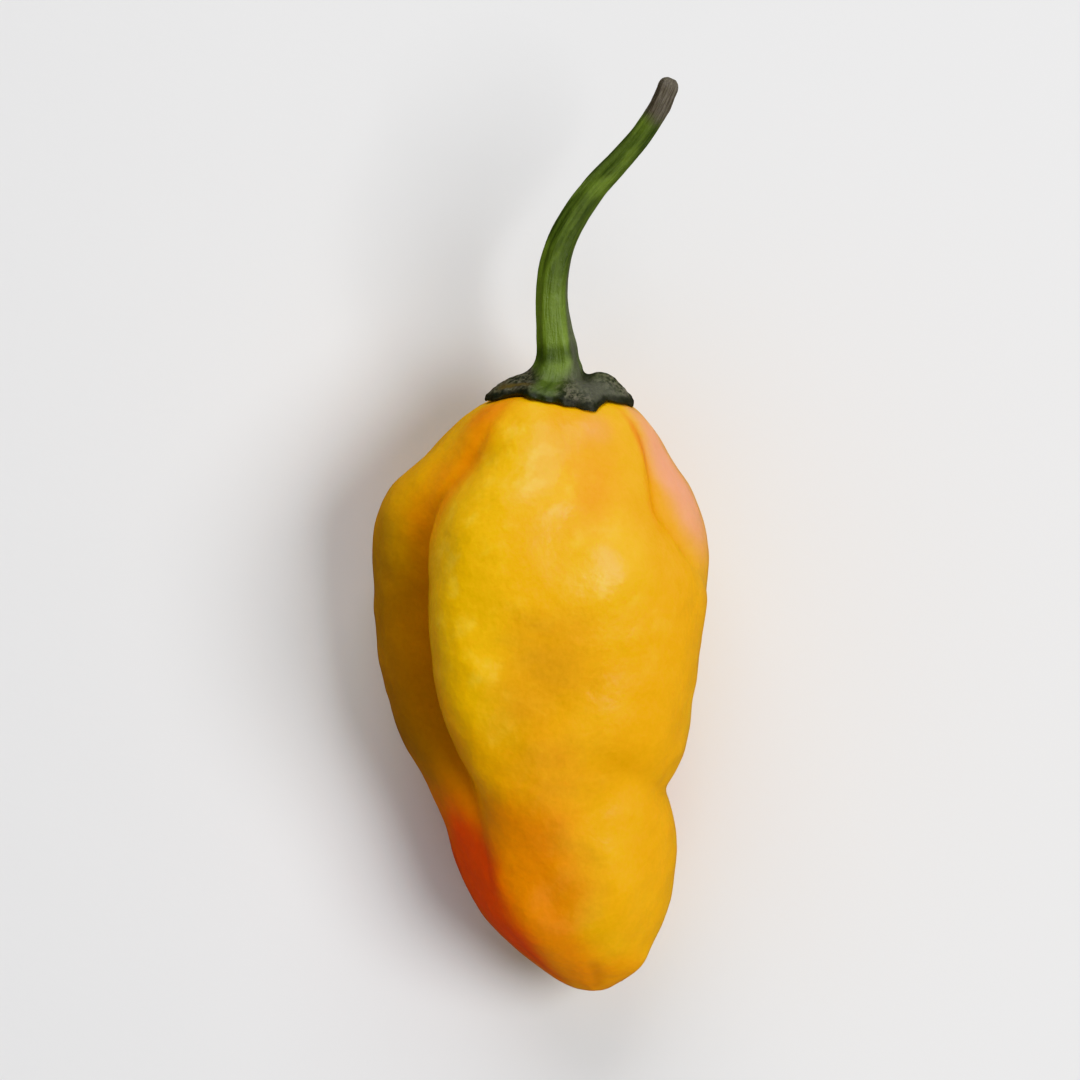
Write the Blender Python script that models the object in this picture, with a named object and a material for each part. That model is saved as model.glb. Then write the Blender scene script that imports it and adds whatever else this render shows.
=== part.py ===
"""Habanero pepper: one picked pod lying on its side, with its stem and the calyx that the stem spreads into.

Metres, +Z up. The stem end points to +Y and the blossom end to -Y. The pod rests on two of its three
lobes and on its blossom end, and each of those places has a small flat at Z = 0.
The pod is shaped in a frame of its own, in millimetres: its axis is Y, the calyx sits at the origin, a
turn of 90 degrees faces up, and "down" is the distance from the calyx towards the blossom end.
"""

import math

import bmesh
import bpy
import numpy as np
from mathutils import Matrix, Vector

MM = 0.001
# Clearance between the pod and the calyx on it
GAP = 0.32

# Pod outline: distance down from the calyx, and the radius there
POD_OUTLINE = (
    (0.35, 0.0), (0.2, 2.4), (0.1, 4.4), (0.6, 6.2), (1.4, 7.4), (2.7, 8.7), (5.2, 10.7), (8.3, 13.2),
    (11.0, 14.4), (14.0, 14.9), (18.5, 14.9), (24.5, 14.2), (29.3, 13.0), (34.0, 11.1), (37.8, 10.2),
    (41.6, 9.6), (45.0, 8.5), (48.0, 6.5), (50.2, 4.5), (51.7, 2.7), (52.4, 1.2), (52.3, 0.0),
)
# Sideways place and height of the middle of the pod, by distance down
POD_MIDDLE = (
    (0, 1.5), (4, 1.0), (9, 0.1), (13, 0.0), (19, -0.2), (28, 0.1), (33, 0.9), (39, 2.1), (46, 3.0),
    (50, 4.0), (54, 4.7),
)
POD_BEND = ((0, 0), (14, -0.2), (28, 0.6), (36, 0.4), (43, 0), (54, 0))
# Height of the section above and below its middle against its half width, by distance down
POD_TOP = ((0, 1.0), (9, 0.94), (21, 0.9), (35, 0.93), (54, 1.0))
POD_UNDERSIDE = ((0, 1.0), (9, 0.95), (15, 0.94), (23, 0.87), (31, 0.85), (37, 0.9), (43, 0.95), (54, 1.0))

# Each furrow between two lobes, by distance down: its turn, and its depth as a share of the radius
FURROWS = (
    {
        "turn": ((0, 24), (5, 27), (9, 34), (13, 24), (17, 4), (22, -15), (30, -24), (54, -24)),
        "depth": (
            (0, 0), (2, 0.02), (5, 0.10), (9, 0.13), (13, 0.08), (17, 0.05), (22, 0.08), (32, 0.13),
            (40, 0.07), (47, 0.03), (54, 0),
        ),
    },
    {
        "turn": ((0, 132), (5, 137), (9, 145), (14, 151), (25, 149), (33, 139), (41, 136), (54, 134)),
        "depth": (
            (0, 0), (2, 0.03), (5, 0.17), (9, 0.27), (14, 0.31), (26, 0.30), (33, 0.22), (39, 0.12),
            (47, 0.04), (54, 0),
        ),
    },
    {
        "turn": ((0, 262), (21, 266), (54, 264)),
        "depth": (
            (0, 0), (2, 0.02), (5, 0.16), (9, 0.28), (20, 0.30), (30, 0.22), (38, 0.10), (46, 0.03),
            (54, 0),
        ),
    },
)
FURROW_REACH = 50.0
FURROW_POWER = 2.2
FURROW_ROUNDING = 2.5

# Swellings and dents: distance down, turn, reach down, reach round in degrees, and height
SWELLINGS = (
    (7.0, 98, 4.0, 18, 0.45),
    (15.0, 62, 5.0, 20, 0.65),
    (10.5, 82, 2.6, 12, -0.30),
    (19.5, 121, 11.0, 13, 0.55),
    (24.5, 82, 6.5, 24, -0.75),
    (29.5, 104, 4.0, 16, -0.45),
    (40.5, 68, 6.0, 17, 0.55),
    (42.5, 98, 5.0, 14, -0.45),
    (40.5, 42, 5.0, 12, -0.30),
    (16.5, 8, 4.5, 22, 0.45),
    (13.5, 186, 7.0, 20, 0.30),
    (24.5, 204, 5.0, 18, -0.50),
    (14.5, 235, 7.0, 18, 0.90),
    (23.5, -48, 5.0, 16, -0.55),
    (30.5, 222, 4.0, 16, 0.30),
)

# The fold across the waist: turn, distance down, and depth
FOLD = (
    (-75, 33.7, 0.0), (-40, 34.7, 0.6), (0, 34.5, 1.1), (30, 33.5, 0.7), (60, 31.5, 0.45),
    (88, 30.1, 0.25), (112, 29.9, 0.0),
)
FOLD_REACH = 3.2

# Slow waves in the skin: how many round the pod, length down, phase in degrees, and height
WAVES = ((5, 17.0, 20, 0.10), (8, 11.0, 140, 0.07), (13, 7.5, 260, 0.045))
# Swellings, fold and waves fade out towards both ends, where the pod is thinner than this radius
FULL_RELIEF_RADIUS = 9.0

LOBE_COLUMNS = 26
POD_RINGS = 46
# How strongly the lengthwise lines of the mesh gather beside the furrows
GATHERING = 0.5
# How far to each side two points are that give the skin's slope: in degrees, and as a share of its length
NORMAL_TURN = 1.0
NORMAL_STEP = 0.003

# Calyx: how far its rim lies from the middle along the skin, and each tooth's turn, length, hump and lift
CALYX_RIM = 5.3
CALYX_THICKNESS = 0.95
# How late the thickness runs out, and how late a tooth lifts, on the way to the rim
RIM_FULLNESS = 6
LIFT_LATENESS = 5
CALYX_TEETH = (
    (4, 1.3, 0.5, 0.1), (66, 1.2, 0.1, 0.0), (120, 0.4, 0.0, 0.1), (176, 0.8, 0.1, 0.5),
    (236, 1.1, 0.2, 0.8), (302, 1.2, 0.3, 0.6),
)
TOOTH_WIDTH = 20.0
# Where a hump lies between the middle and the rim, and how far it reaches, as shares of the way out
HUMP_PLACE = 0.72
HUMP_REACH = 0.17
# The calyx swells towards the stem: how high, and how far out
CALYX_RISE = 1.6
CALYX_RISE_REACH = 3.2
CALYX_COLUMNS = 60
CALYX_RINGS = 24

# Stem, root first: side, distance up from the calyx seat, height, and radius
STEM_ROUTE = (
    (1.75, 0.9, 0.0, 3.4), (1.75, 1.6, 0.0, 2.9), (1.75, 2.4, 0.0, 2.35), (1.65, 3.6, 0.0, 1.85),
    (1.35, 5.4, 0.1, 1.52), (1.1, 7.6, 0.25, 1.36), (1.1, 9.6, 0.45, 1.3), (1.35, 11.6, 0.7, 1.28),
    (1.95, 13.6, 1.0, 1.25), (3.1, 15.8, 1.35, 1.2), (4.9, 18.3, 1.8, 1.1), (6.9, 20.5, 2.2, 1.0),
    (8.8, 22.7, 2.6, 0.93), (10.2, 24.9, 3.0, 0.88), (11.0, 26.6, 3.25, 0.84), (11.3, 27.4, 3.35, 0.85),
)
STEM_END_ROUNDING = 0.25
STEM_SEGMENTS = 40
STEM_RIBS = 5
STEM_RIB_HEIGHT = 0.07
STEM_SIDES = 20
# Points closer together than this are one point
MERGE_DISTANCE = 0.001

# How the pepper lies: the stem end is raised, and it leans a little to one side
LIE_TILT = 7.5
LIE_ROLL = -1.0
# How deep the flats are pressed into the pod, and the size of the block that cuts them
FLAT_DEPTH = 0.3
GROUND_SIZE = (200.0, 200.0, 20.0)


def curve_through(stations, at):
    """Reads a smooth curve through (place, value) stations at the given places."""
    places, values = np.array(stations, float).T[:2]
    slopes = np.gradient(values, places)
    first = np.clip(np.searchsorted(places, at, side="right") - 1, 0, len(places) - 2)
    span = places[first + 1] - places[first]
    f = np.clip((at - places[first]) / span, 0, 1)
    near = values[first] * (1 + 2 * f) + slopes[first] * span * f
    far = values[first + 1] * (3 - 2 * f) - slopes[first + 1] * span * (1 - f)
    return near * (1 - f) ** 2 + far * f**2


def wrapped(degrees):
    """The same angle between -180 and 180 degrees."""
    return (degrees + 180) % 360 - 180


def outline_stations():
    """The pod outline against the share of its length walked from the calyx to the blossom end."""
    outline = np.array(POD_OUTLINE)
    walked = np.concatenate([[0], np.cumsum(np.hypot(*np.diff(outline, axis=0).T))])
    return np.column_stack([walked / walked[-1], outline])


def furrow_share(turn, down):
    """The share of the radius that the furrows take away."""
    share = 0
    for furrow in FURROWS:
        away = wrapped(turn - curve_through(furrow["turn"], down))
        away = np.sqrt(away**2 + FURROW_ROUNDING**2) - FURROW_ROUNDING
        valley = np.clip(1 - away / FURROW_REACH, 0, 1) ** FURROW_POWER
        share = share + curve_through(furrow["depth"], down) * valley
    return share


def relief(turn, down):
    """The height of the swellings, the fold and the slow waves, in millimetres."""
    height = 0
    for place, angle, reach, spread, rise in SWELLINGS:
        away = ((down - place) / reach) ** 2 + (wrapped(turn - angle) / spread) ** 2
        height = height + rise * np.exp(-away)
    angles, places, depths = np.array(FOLD).T
    away = np.abs(down - np.interp(wrapped(turn), angles, places)) / FOLD_REACH
    height = height - np.interp(wrapped(turn), angles, depths) * np.clip(1 - away, 0, 1) ** 2
    for count, length, phase, rise in WAVES:
        along = 2 * math.pi * down / length
        swing = np.radians(turn * count + phase) + np.sin(along)
        height = height + rise * np.sin(swing) * np.cos(along + math.radians(phase))
    return height


def pod_skin(turn, step):
    """Points of the pod's skin: turn is in degrees, step runs from 0 at the calyx to 1 at the blossom end."""
    stations = outline_stations()
    down = curve_through(stations[:, [0, 1]], step)
    girth = curve_through(stations[:, [0, 2]], step)
    fade = np.clip(girth / FULL_RELIEF_RADIUS, 0, 1) ** 2
    radius = girth * (1 - furrow_share(turn, down)) + fade * relief(turn, down)
    side, rise = np.cos(np.radians(turn)), np.sin(np.radians(turn))
    height = np.where(rise > 0, curve_through(POD_TOP, down), curve_through(POD_UNDERSIDE, down))
    x = curve_through(POD_MIDDLE, down) + radius * side
    z = curve_through(POD_BEND, down) + radius * rise * height
    return np.stack([x, -down, z], axis=-1)


def skin_normal(turn, step):
    """Unit normals of the pod's skin, facing out. At the calyx seat they are taken from close beside it."""
    step = np.maximum(step, 2 * NORMAL_STEP)
    across = pod_skin(turn + NORMAL_TURN, step) - pod_skin(turn - NORMAL_TURN, step)
    along = pod_skin(turn, step + NORMAL_STEP) - pod_skin(turn, step - NORMAL_STEP)
    normal = np.cross(across, along)
    return normal / np.linalg.norm(normal, axis=-1, keepdims=True)


def column_turn(column, down):
    """The turn of a lengthwise line of the mesh. The lines follow the furrows and gather beside them."""
    starts = [curve_through(furrow["turn"], down) for furrow in FURROWS]
    starts = np.stack([*starts, starts[0] + 360])
    lobe = (column // LOBE_COLUMNS).astype(int)
    share = column / LOBE_COLUMNS - lobe
    share = share - GATHERING * np.sin(2 * math.pi * share) / (2 * math.pi)
    index = np.arange(len(column))
    return starts[lobe, index] * (1 - share) + starts[lobe + 1, index] * share


def ball(name, columns, rings):
    """A ball's mesh, with each vertex's column and its share of the way from the first pole to the last."""
    mesh = bpy.data.meshes.new(name)
    bm = bmesh.new()
    bmesh.ops.create_uvsphere(bm, u_segments=columns, v_segments=rings, radius=1)
    points = np.array([v.co for v in bm.verts])
    bm.to_mesh(mesh)
    bm.free()
    column = np.round(np.arctan2(points[:, 1], points[:, 0]) / (2 * math.pi) * columns) % columns
    share = np.arccos(np.clip(points[:, 2], -1, 1)) / math.pi
    return mesh, column, share


def place_points(mesh, points):
    """Moves the mesh's vertices to points given in millimetres, and turns its faces outwards."""
    mesh.vertices.foreach_set("co", (points * MM).astype(np.float32).ravel())
    bm = bmesh.new()
    bm.from_mesh(mesh)
    bmesh.ops.recalc_face_normals(bm, faces=bm.faces)
    bm.to_mesh(mesh)
    bm.free()
    mesh.shade_smooth()
    mesh.update()


def material(name, color, roughness):
    """A Principled material."""
    made = bpy.data.materials.new(name)
    made.use_nodes = True
    shader = made.node_tree.nodes["Principled BSDF"]
    shader.inputs["Base Color"].default_value = (*color, 1)
    shader.inputs["Roughness"].default_value = roughness
    return made


def add_object(name, mesh, collection, parent, made_of=None):
    """An object in a collection, hung on its parent."""
    obj = bpy.data.objects.new(name, mesh)
    collection.objects.link(obj)
    obj.parent = parent
    if made_of:
        mesh.materials.clear()
        mesh.materials.append(made_of)
    return obj


def as_helper(obj):
    """Marks an object that only shapes others."""
    obj.hide_render = True
    obj.display_type = "WIRE"
    return obj


def combine(obj, helper, operation):
    """Cuts the helper's shape from the object, or joins it on."""
    modifier = obj.modifiers.new(helper.name, "BOOLEAN")
    modifier.solver = "EXACT"
    modifier.operation = operation
    modifier.object = helper


def pod(collection, lie):
    """The fruit itself: three lobes, their furrows, the folded waist and the blunt blossom end."""
    columns = LOBE_COLUMNS * len(FURROWS)
    mesh, column, step = ball("pod", columns, POD_RINGS)
    down = curve_through(outline_stations()[:, [0, 1]], step)
    place_points(mesh, pod_skin(column_turn(column, down), step))
    return add_object("pod", mesh, collection, lie, material("pepper_skin", (0.85, 0.42, 0.03), 0.3))


def calyx_teeth(turn):
    """For each turn: how far the rim reaches along the skin, and the tooth's hump and lift there."""
    reach, hump, lift = CALYX_RIM, 0, 0
    for angle, length, tooth_hump, tooth_lift in CALYX_TEETH:
        tooth = np.exp(-((wrapped(turn - angle) / TOOTH_WIDTH) ** 2))
        reach = reach + length * tooth
        hump = hump + tooth_hump * tooth
        lift = lift + tooth_lift * tooth
    return reach, hump, lift


def calyx(collection, lie):
    """The toothed cap that follows the pod's shoulder and swells towards the stem."""
    mesh, column, share = ball("calyx", CALYX_COLUMNS, CALYX_RINGS)
    turn = column * 360 / CALYX_COLUMNS
    out = np.sin(share * math.pi)
    reach, hump, lift = calyx_teeth(turn)
    skin_length = np.hypot(*np.diff(np.array(POD_OUTLINE), axis=0).T).sum()
    step = out * reach / skin_length
    thickness = CALYX_THICKNESS * np.sqrt(np.clip(1 - out**RIM_FULLNESS, 0, 1))
    rise = CALYX_RISE * np.exp(-((out * reach / CALYX_RISE_REACH) ** 2))
    arch = hump * np.exp(-(((out - HUMP_PLACE) / HUMP_REACH) ** 2)) + lift * out**LIFT_LATENESS
    height = GAP + arch + np.where(share < 0.5, thickness + rise, 0)
    place_points(mesh, pod_skin(turn, step) + skin_normal(turn, step) * height[:, None])
    green = material("stem_green", (0.05, 0.08, 0.02), 0.6)
    return add_object("stem_and_calyx", mesh, collection, lie, green)


def rib_section(collection, lie):
    """The stem's cross-section, one millimetre in radius, with soft ribs."""
    curve = bpy.data.curves.new("rib_section", "CURVE")
    curve.dimensions = "2D"
    spline = curve.splines.new("POLY")
    spline.points.add(STEM_SIDES - 1)
    for i, point in enumerate(spline.points):
        angle = -2 * math.pi * i / STEM_SIDES
        radius = MM * (1 + STEM_RIB_HEIGHT * math.cos(STEM_RIBS * angle))
        point.co = (radius * math.cos(angle), radius * math.sin(angle), 0, 1)
    spline.use_cyclic_u = True
    return as_helper(add_object("rib_section", curve, collection, lie))


def stem(collection, lie):
    """The ribbed stem as a mesh: its flared root is sunk in the calyx, and its far end is cut off."""
    route = np.array(STEM_ROUTE)
    walked = np.concatenate([[0], np.cumsum(np.linalg.norm(np.diff(route[:, :3], axis=0), axis=1))])
    at = np.linspace(0, walked[-1], STEM_SEGMENTS)
    swept = np.column_stack([curve_through(np.column_stack([walked, line]), at) for line in route.T])
    onward = (swept[-1] - swept[-2]) / np.linalg.norm(swept[-1, :3] - swept[-2, :3])
    end = swept[-1] + onward * STEM_END_ROUNDING
    end[3] = swept[-1, 3] - STEM_END_ROUNDING
    curve = bpy.data.curves.new("stem", "CURVE")
    curve.dimensions = "3D"
    curve.bevel_mode = "OBJECT"
    curve.bevel_object = rib_section(collection, lie)
    curve.use_fill_caps = True
    spline = curve.splines.new("POLY")
    spline.points.add(len(swept))
    for point, (x, y, z, radius) in zip(spline.points, [*swept, end]):
        point.co = (x * MM, y * MM, z * MM, 1)
        point.radius = radius
    return as_mesh(add_object("stem_curve", curve, collection, lie), "stem", collection, lie)


def as_mesh(curve_object, name, collection, parent):
    """Makes a mesh object from a curve object, which it removes."""
    bpy.context.view_layer.update()
    seen = curve_object.evaluated_get(bpy.context.evaluated_depsgraph_get())
    mesh = bpy.data.meshes.new_from_object(seen)
    bm = bmesh.new()
    bm.from_mesh(mesh)
    bmesh.ops.remove_doubles(bm, verts=bm.verts, dist=MERGE_DISTANCE * MM)
    bm.to_mesh(mesh)
    bm.free()
    mesh.shade_smooth()
    made = as_helper(add_object(name, mesh, collection, parent))
    made.matrix_world = curve_object.matrix_world
    bpy.data.objects.remove(curve_object, do_unlink=True)
    return made


def ground(collection):
    """A block whose top is Z = 0. It cuts the small flats that the pod rests on."""
    mesh = bpy.data.meshes.new("ground")
    width, depth, height = Vector(GROUND_SIZE) * MM
    bm = bmesh.new()
    bmesh.ops.create_cube(bm, size=1, matrix=Matrix.Diagonal((width, depth, height, 1)))
    bm.to_mesh(mesh)
    bm.free()
    made = as_helper(add_object("ground", mesh, collection, None))
    made.location.z = -height / 2
    return made


def world_points(obj):
    """The points of an object as it is seen, in the world."""
    seen = obj.evaluated_get(bpy.context.evaluated_depsgraph_get())
    mesh = seen.to_mesh()
    points = np.array([seen.matrix_world @ v.co for v in mesh.vertices])
    seen.to_mesh_clear()
    return points


def lay_down(lie, pod_object, objects):
    """Tilts the pepper to how it lies, lets it down onto Z = 0 and centres it on the origin."""
    lie.rotation_euler = (math.radians(LIE_TILT), math.radians(LIE_ROLL), 0)
    bpy.context.view_layer.update()
    lie.location.z = -world_points(pod_object)[:, 2].min() - FLAT_DEPTH * MM
    bpy.context.view_layer.update()
    everything = np.concatenate([world_points(obj) for obj in objects])
    middle = (everything.min(axis=0) + everything.max(axis=0)) / 2
    lie.location.x -= middle[0]
    lie.location.y -= middle[1]
    bpy.context.view_layer.update()


def new_collection(name):
    """A collection in the scene."""
    made = bpy.data.collections.new(name)
    bpy.context.scene.collection.children.link(made)
    return made


def main():
    for obj in list(bpy.data.objects):
        bpy.data.objects.remove(obj, do_unlink=True)
    pepper = new_collection("habanero_pepper")
    helpers = new_collection("cutters")
    lie = add_object("lie", None, pepper, None)
    pod_object = pod(pepper, lie)
    calyx_object = calyx(pepper, lie)
    combine(calyx_object, stem(helpers, lie), "UNION")
    lay_down(lie, pod_object, (pod_object, calyx_object))
    combine(pod_object, ground(helpers), "DIFFERENCE")


main()
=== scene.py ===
"""Habanero pepper: the looks of one picked pod that lies on its side, with its calyx and its curved stem.

The form is that of the frame's solids, in finer faces, with creases, wrinkles, ribs, an uneven rim and
colours added. The pod is shaped in a frame of its own, in millimetres: its axis is Y, the calyx sits at the
origin, a turn of 90 degrees faces up, and "down" is the distance from the calyx towards the blossom end.
"""

import math
from functools import partial

import bpy
import numpy as np
from mathutils import Euler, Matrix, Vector, noise


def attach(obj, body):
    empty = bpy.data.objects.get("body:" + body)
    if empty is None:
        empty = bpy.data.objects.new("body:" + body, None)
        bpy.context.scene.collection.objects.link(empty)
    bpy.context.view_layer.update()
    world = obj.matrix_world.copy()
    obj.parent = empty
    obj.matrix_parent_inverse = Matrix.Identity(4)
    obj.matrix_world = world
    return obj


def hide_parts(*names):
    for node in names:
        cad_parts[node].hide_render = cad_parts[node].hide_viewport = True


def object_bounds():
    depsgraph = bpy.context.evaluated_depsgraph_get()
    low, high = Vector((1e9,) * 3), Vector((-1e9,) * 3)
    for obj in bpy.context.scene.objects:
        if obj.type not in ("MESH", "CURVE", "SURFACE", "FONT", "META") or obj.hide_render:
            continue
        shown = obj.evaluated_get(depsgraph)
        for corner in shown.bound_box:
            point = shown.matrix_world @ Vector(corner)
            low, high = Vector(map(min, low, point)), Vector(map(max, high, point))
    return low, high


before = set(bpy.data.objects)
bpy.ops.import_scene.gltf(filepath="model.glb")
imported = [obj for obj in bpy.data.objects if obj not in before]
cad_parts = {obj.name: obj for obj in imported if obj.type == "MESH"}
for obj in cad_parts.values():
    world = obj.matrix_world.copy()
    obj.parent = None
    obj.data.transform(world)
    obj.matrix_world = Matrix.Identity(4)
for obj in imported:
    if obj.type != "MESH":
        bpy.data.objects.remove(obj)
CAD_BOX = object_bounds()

bl_info = {
    "name": "Habanero pepper",
    "version": (1, 0, 0),
    "blender": (4, 5, 0),
    "location": "3D Viewport > Sidebar > Habanero",
    "description": "Builds a habanero pepper: a furrowed pod, and a stem that spreads into its calyx",
    "category": "Add Mesh",
}

MM = 0.001

# How the pepper lies in the frame
LIE_PLACE = (-0.0458, 12.4325, 13.7359)
LIE_TILT = 7.5
LIE_ROLL = -1.0

# Pod outline: distance down from the calyx, and the radius there
POD_OUTLINE = (
    (0.35, 0.0), (0.2, 2.4), (0.1, 4.4), (0.6, 6.2), (1.4, 7.4), (2.7, 8.7), (5.2, 10.7), (8.3, 13.2),
    (11.0, 14.4), (14.0, 14.9), (18.5, 14.9), (24.5, 14.2), (29.3, 13.0), (34.0, 11.1), (37.8, 10.2),
    (41.6, 9.6), (45.0, 8.5), (48.0, 6.5), (50.2, 4.5), (51.7, 2.7), (52.4, 1.2), (52.3, 0.0),
)
# Sideways place and height of the middle of the pod, by distance down
POD_MIDDLE = (
    (0, 1.5), (4, 1.0), (9, 0.1), (13, 0.0), (19, -0.2), (28, 0.1), (33, 0.9), (39, 2.1), (46, 3.0),
    (50, 4.0), (54, 4.7),
)
POD_BEND = ((0, 0), (14, -0.2), (28, 0.6), (36, 0.4), (43, 0), (54, 0))
# Height of the section above and below its middle against its half width, by distance down
POD_TOP = ((0, 1.0), (9, 0.94), (21, 0.9), (35, 0.93), (54, 1.0))
POD_UNDERSIDE = ((0, 1.0), (9, 0.95), (15, 0.94), (23, 0.87), (31, 0.85), (37, 0.9), (43, 0.95), (54, 1.0))

# Each furrow between two lobes, by distance down: its turn, and its depth as a share of the radius
FURROWS = (
    {
        "turn": ((0, 24), (5, 27), (9, 34), (13, 24), (17, 4), (22, -15), (30, -24), (54, -24)),
        "depth": (
            (0, 0), (2, 0.02), (5, 0.10), (9, 0.13), (13, 0.08), (17, 0.05), (22, 0.08), (32, 0.13),
            (40, 0.07), (47, 0.03), (54, 0),
        ),
    },
    {
        "turn": ((0, 132), (5, 137), (9, 145), (14, 151), (25, 149), (33, 139), (41, 136), (54, 134)),
        "depth": (
            (0, 0), (2, 0.03), (5, 0.17), (9, 0.27), (14, 0.31), (26, 0.30), (33, 0.22), (39, 0.12),
            (47, 0.04), (54, 0),
        ),
    },
    {
        "turn": ((0, 262), (21, 266), (54, 264)),
        "depth": (
            (0, 0), (2, 0.02), (5, 0.16), (9, 0.28), (20, 0.30), (30, 0.22), (38, 0.10), (46, 0.03),
            (54, 0),
        ),
    },
)
FURROW_REACH = 50.0
FURROW_POWER = 2.2
FURROW_ROUNDING = 2.5
DEEPEST_FURROW = 0.3

# Swellings and dents: distance down, turn, reach down, reach round in degrees, and height
SWELLINGS = (
    (7.0, 98, 4.0, 18, 0.45), (15.0, 62, 5.0, 20, 0.65), (10.5, 82, 2.6, 12, -0.30),
    (19.5, 121, 11.0, 13, 0.55), (24.5, 82, 6.5, 24, -0.75), (29.5, 104, 4.0, 16, -0.45),
    (40.5, 68, 6.0, 17, 0.55), (42.5, 98, 5.0, 14, -0.45), (40.5, 42, 5.0, 12, -0.30),
    (16.5, 8, 4.5, 22, 0.45), (13.5, 186, 7.0, 20, 0.30), (24.5, 204, 5.0, 18, -0.50),
    (14.5, 235, 7.0, 18, 0.90), (23.5, -48, 5.0, 16, -0.55), (30.5, 222, 4.0, 16, 0.30),
)

# The fold across the waist: turn, distance down, and depth
FOLD = (
    (-75, 33.7, 0.0), (-40, 34.7, 0.6), (0, 34.5, 1.1), (30, 33.5, 0.7), (60, 31.5, 0.45),
    (88, 30.1, 0.25), (112, 29.9, 0.0),
)
FOLD_REACH = 3.2
FOLD_SOFTNESS = 0.28

# Smaller swellings and dents that catch the light, given in the same way
SMALL_SWELLINGS = (
    (13.9, 63, 3.0, 12, 0.16), (11.6, 72, 2.0, 9, 0.10), (6.6, 85, 2.2, 10, 0.16),
    (15.8, 101, 3.2, 9, 0.14), (20.6, 112, 3.0, 8, 0.12), (18.6, 80, 1.1, 12, -0.07),
    (20.4, 74, 1.3, 10, 0.07), (24.5, 89, 3.4, 12, -0.22), (33.0, 46, 2.0, 20, 0.24),
    (31.4, 68, 2.0, 16, 0.16), (35.0, 109, 4.0, 12, 0.22), (50.4, 35, 1.6, 24, 2.60),
    (29.8, 76, 3.0, 12, 0.10), (35.2, 90, 2.2, 11, 0.20), (38.4, 66, 2.2, 12, 0.16),
    (40.5, 133, 5.5, 11, 0.45), (9.5, 143, 5.0, 9, 0.75), (32.5, 112, 3.0, 10, 0.25),
    (25.0, 132, 5.0, 7, 0.28), (33.0, 125, 5.0, 9, 0.30), (47.0, 118, 3.6, 22, 1.15),
    (35.9, 45, 3.0, 15, 0.20), (44.0, 84, 3.0, 12, 0.14), (46.5, 112, 2.6, 16, -0.12),
    (10.0, 172, 3.2, 12, 0.14), (21.0, 176, 4.0, 12, 0.12), (9.0, 18, 2.6, 9, 0.12),
    (12.0, 222, 3.2, 12, 0.14), (26.0, 236, 3.4, 12, 0.14), (17.0, 310, 3.4, 12, 0.14),
    (30.0, 330, 3.0, 14, 0.12),
)

# The shoulder that rises round one side of the calyx: its turn and width in degrees, its distance from the
# middle and reach, and its height
SHOULDER_SIDE = (128.0, 28.0)
SHOULDER_PLACE = (5.2, 2.4)
SHOULDER_RISE = 0.45

# Slow waves in the skin: how many round the pod, length down, phase in degrees, and height
WAVES = ((5, 17.0, 20, 0.10), (8, 11.0, 140, 0.07), (13, 7.5, 260, 0.045))
FULL_RELIEF_RADIUS = 9.0

# Fine creases in the skin: depth, half width, and the distance down and turn of each place along them
CREASES = (
    (0.16, 0.55, ((1.0, 25), (5, 28), (9, 34), (12.5, 27), (15, 16))),
    (0.10, 0.60, ((3.0, 135), (9, 145), (14, 151), (25, 149), (33, 139), (38, 136))),
    (0.10, 0.70, ((34.6, -30), (34.4, -5), (34.0, 18), (33.0, 38))),
    (0.07, 0.80, ((0.8, 112), (3.0, 116), (5.4, 124))),
    (0.06, 0.70, ((0.8, 84), (2.6, 86), (4.4, 83))),
    (0.06, 0.70, ((0.9, 58), (2.8, 55), (4.6, 57))),
    (0.06, 0.50, ((17.2, 100), (18.0, 93), (18.4, 86))),
    (0.06, 0.45, ((19.2, 104), (20.4, 98), (20.8, 91))),
    (0.04, 0.60, ((22.5, 74), (24.4, 66), (25.2, 57))),
    (0.06, 0.50, ((37.0, 84), (38.6, 76), (39.4, 66))),
    (0.22, 0.70, ((48.4, 84), (50.2, 79), (51.4, 75), (52.3, 72))),
    (0.08, 0.45, ((47.0, 140), (50.0, 138), (51.6, 134))),
    (0.06, 0.70, ((46.0, 30), (48.8, 36), (51.0, 48))),
    (0.09, 0.50, ((0.8, 176), (3.0, 178), (6.0, 174))),
    (0.10, 0.50, ((0.8, 215), (3.4, 219), (6.6, 216))),
    (0.09, 0.50, ((0.8, 318), (3.0, 315), (6.2, 319))),
    (0.12, 0.60, ((3.0, 262), (9, 264), (21, 266), (34, 265), (42, 264))),
    (0.07, 0.60, ((15.0, 196), (18.0, 200), (22.5, 198))),
    (0.07, 0.60, ((28.0, 186), (30.0, 196), (30.8, 208))),
    (0.07, 0.60, ((26.0, 300), (28.4, 310), (29.0, 322))),
    (0.08, 0.50, ((46.0, 232), (49.0, 236), (51.4, 240))),
)

# A crease takes no more than this share of the radius, and its length is reckoned at this radius
CREASE_LIMIT = 0.3
CREASE_RADIUS = 10.0
# How dark the painted shade in a crease is for each millimetre of its depth
CREASE_SHADE = 5.0
# How far down the painted shade in the furrows sets in, and how far down it ends
FURROW_SHADE_FROM = (8, 17)
FURROW_SHADE_TO = (30, 38)
# The radius over which the blossom end's scar fades out
SCAR_EDGE = (0.2, 0.9)
# Size of the wide and the narrow lumps in the skin, and height of the narrow ones as a share of the wide
WIDE_LUMPS = 4.5 * MM
NARROW_LUMPS = 1.7 * MM
NARROW_LUMP_SHARE = 0.3

LOBE_COLUMNS = 120
POD_RINGS = 228
# How strongly the lengthwise lines of the mesh gather beside the furrows
GATHERING = 0.5
# How far to each side two points are that give the skin's slope: in degrees, and as a share of its length
NORMAL_TURN = 1.0
NORMAL_STEP = 0.003

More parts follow.
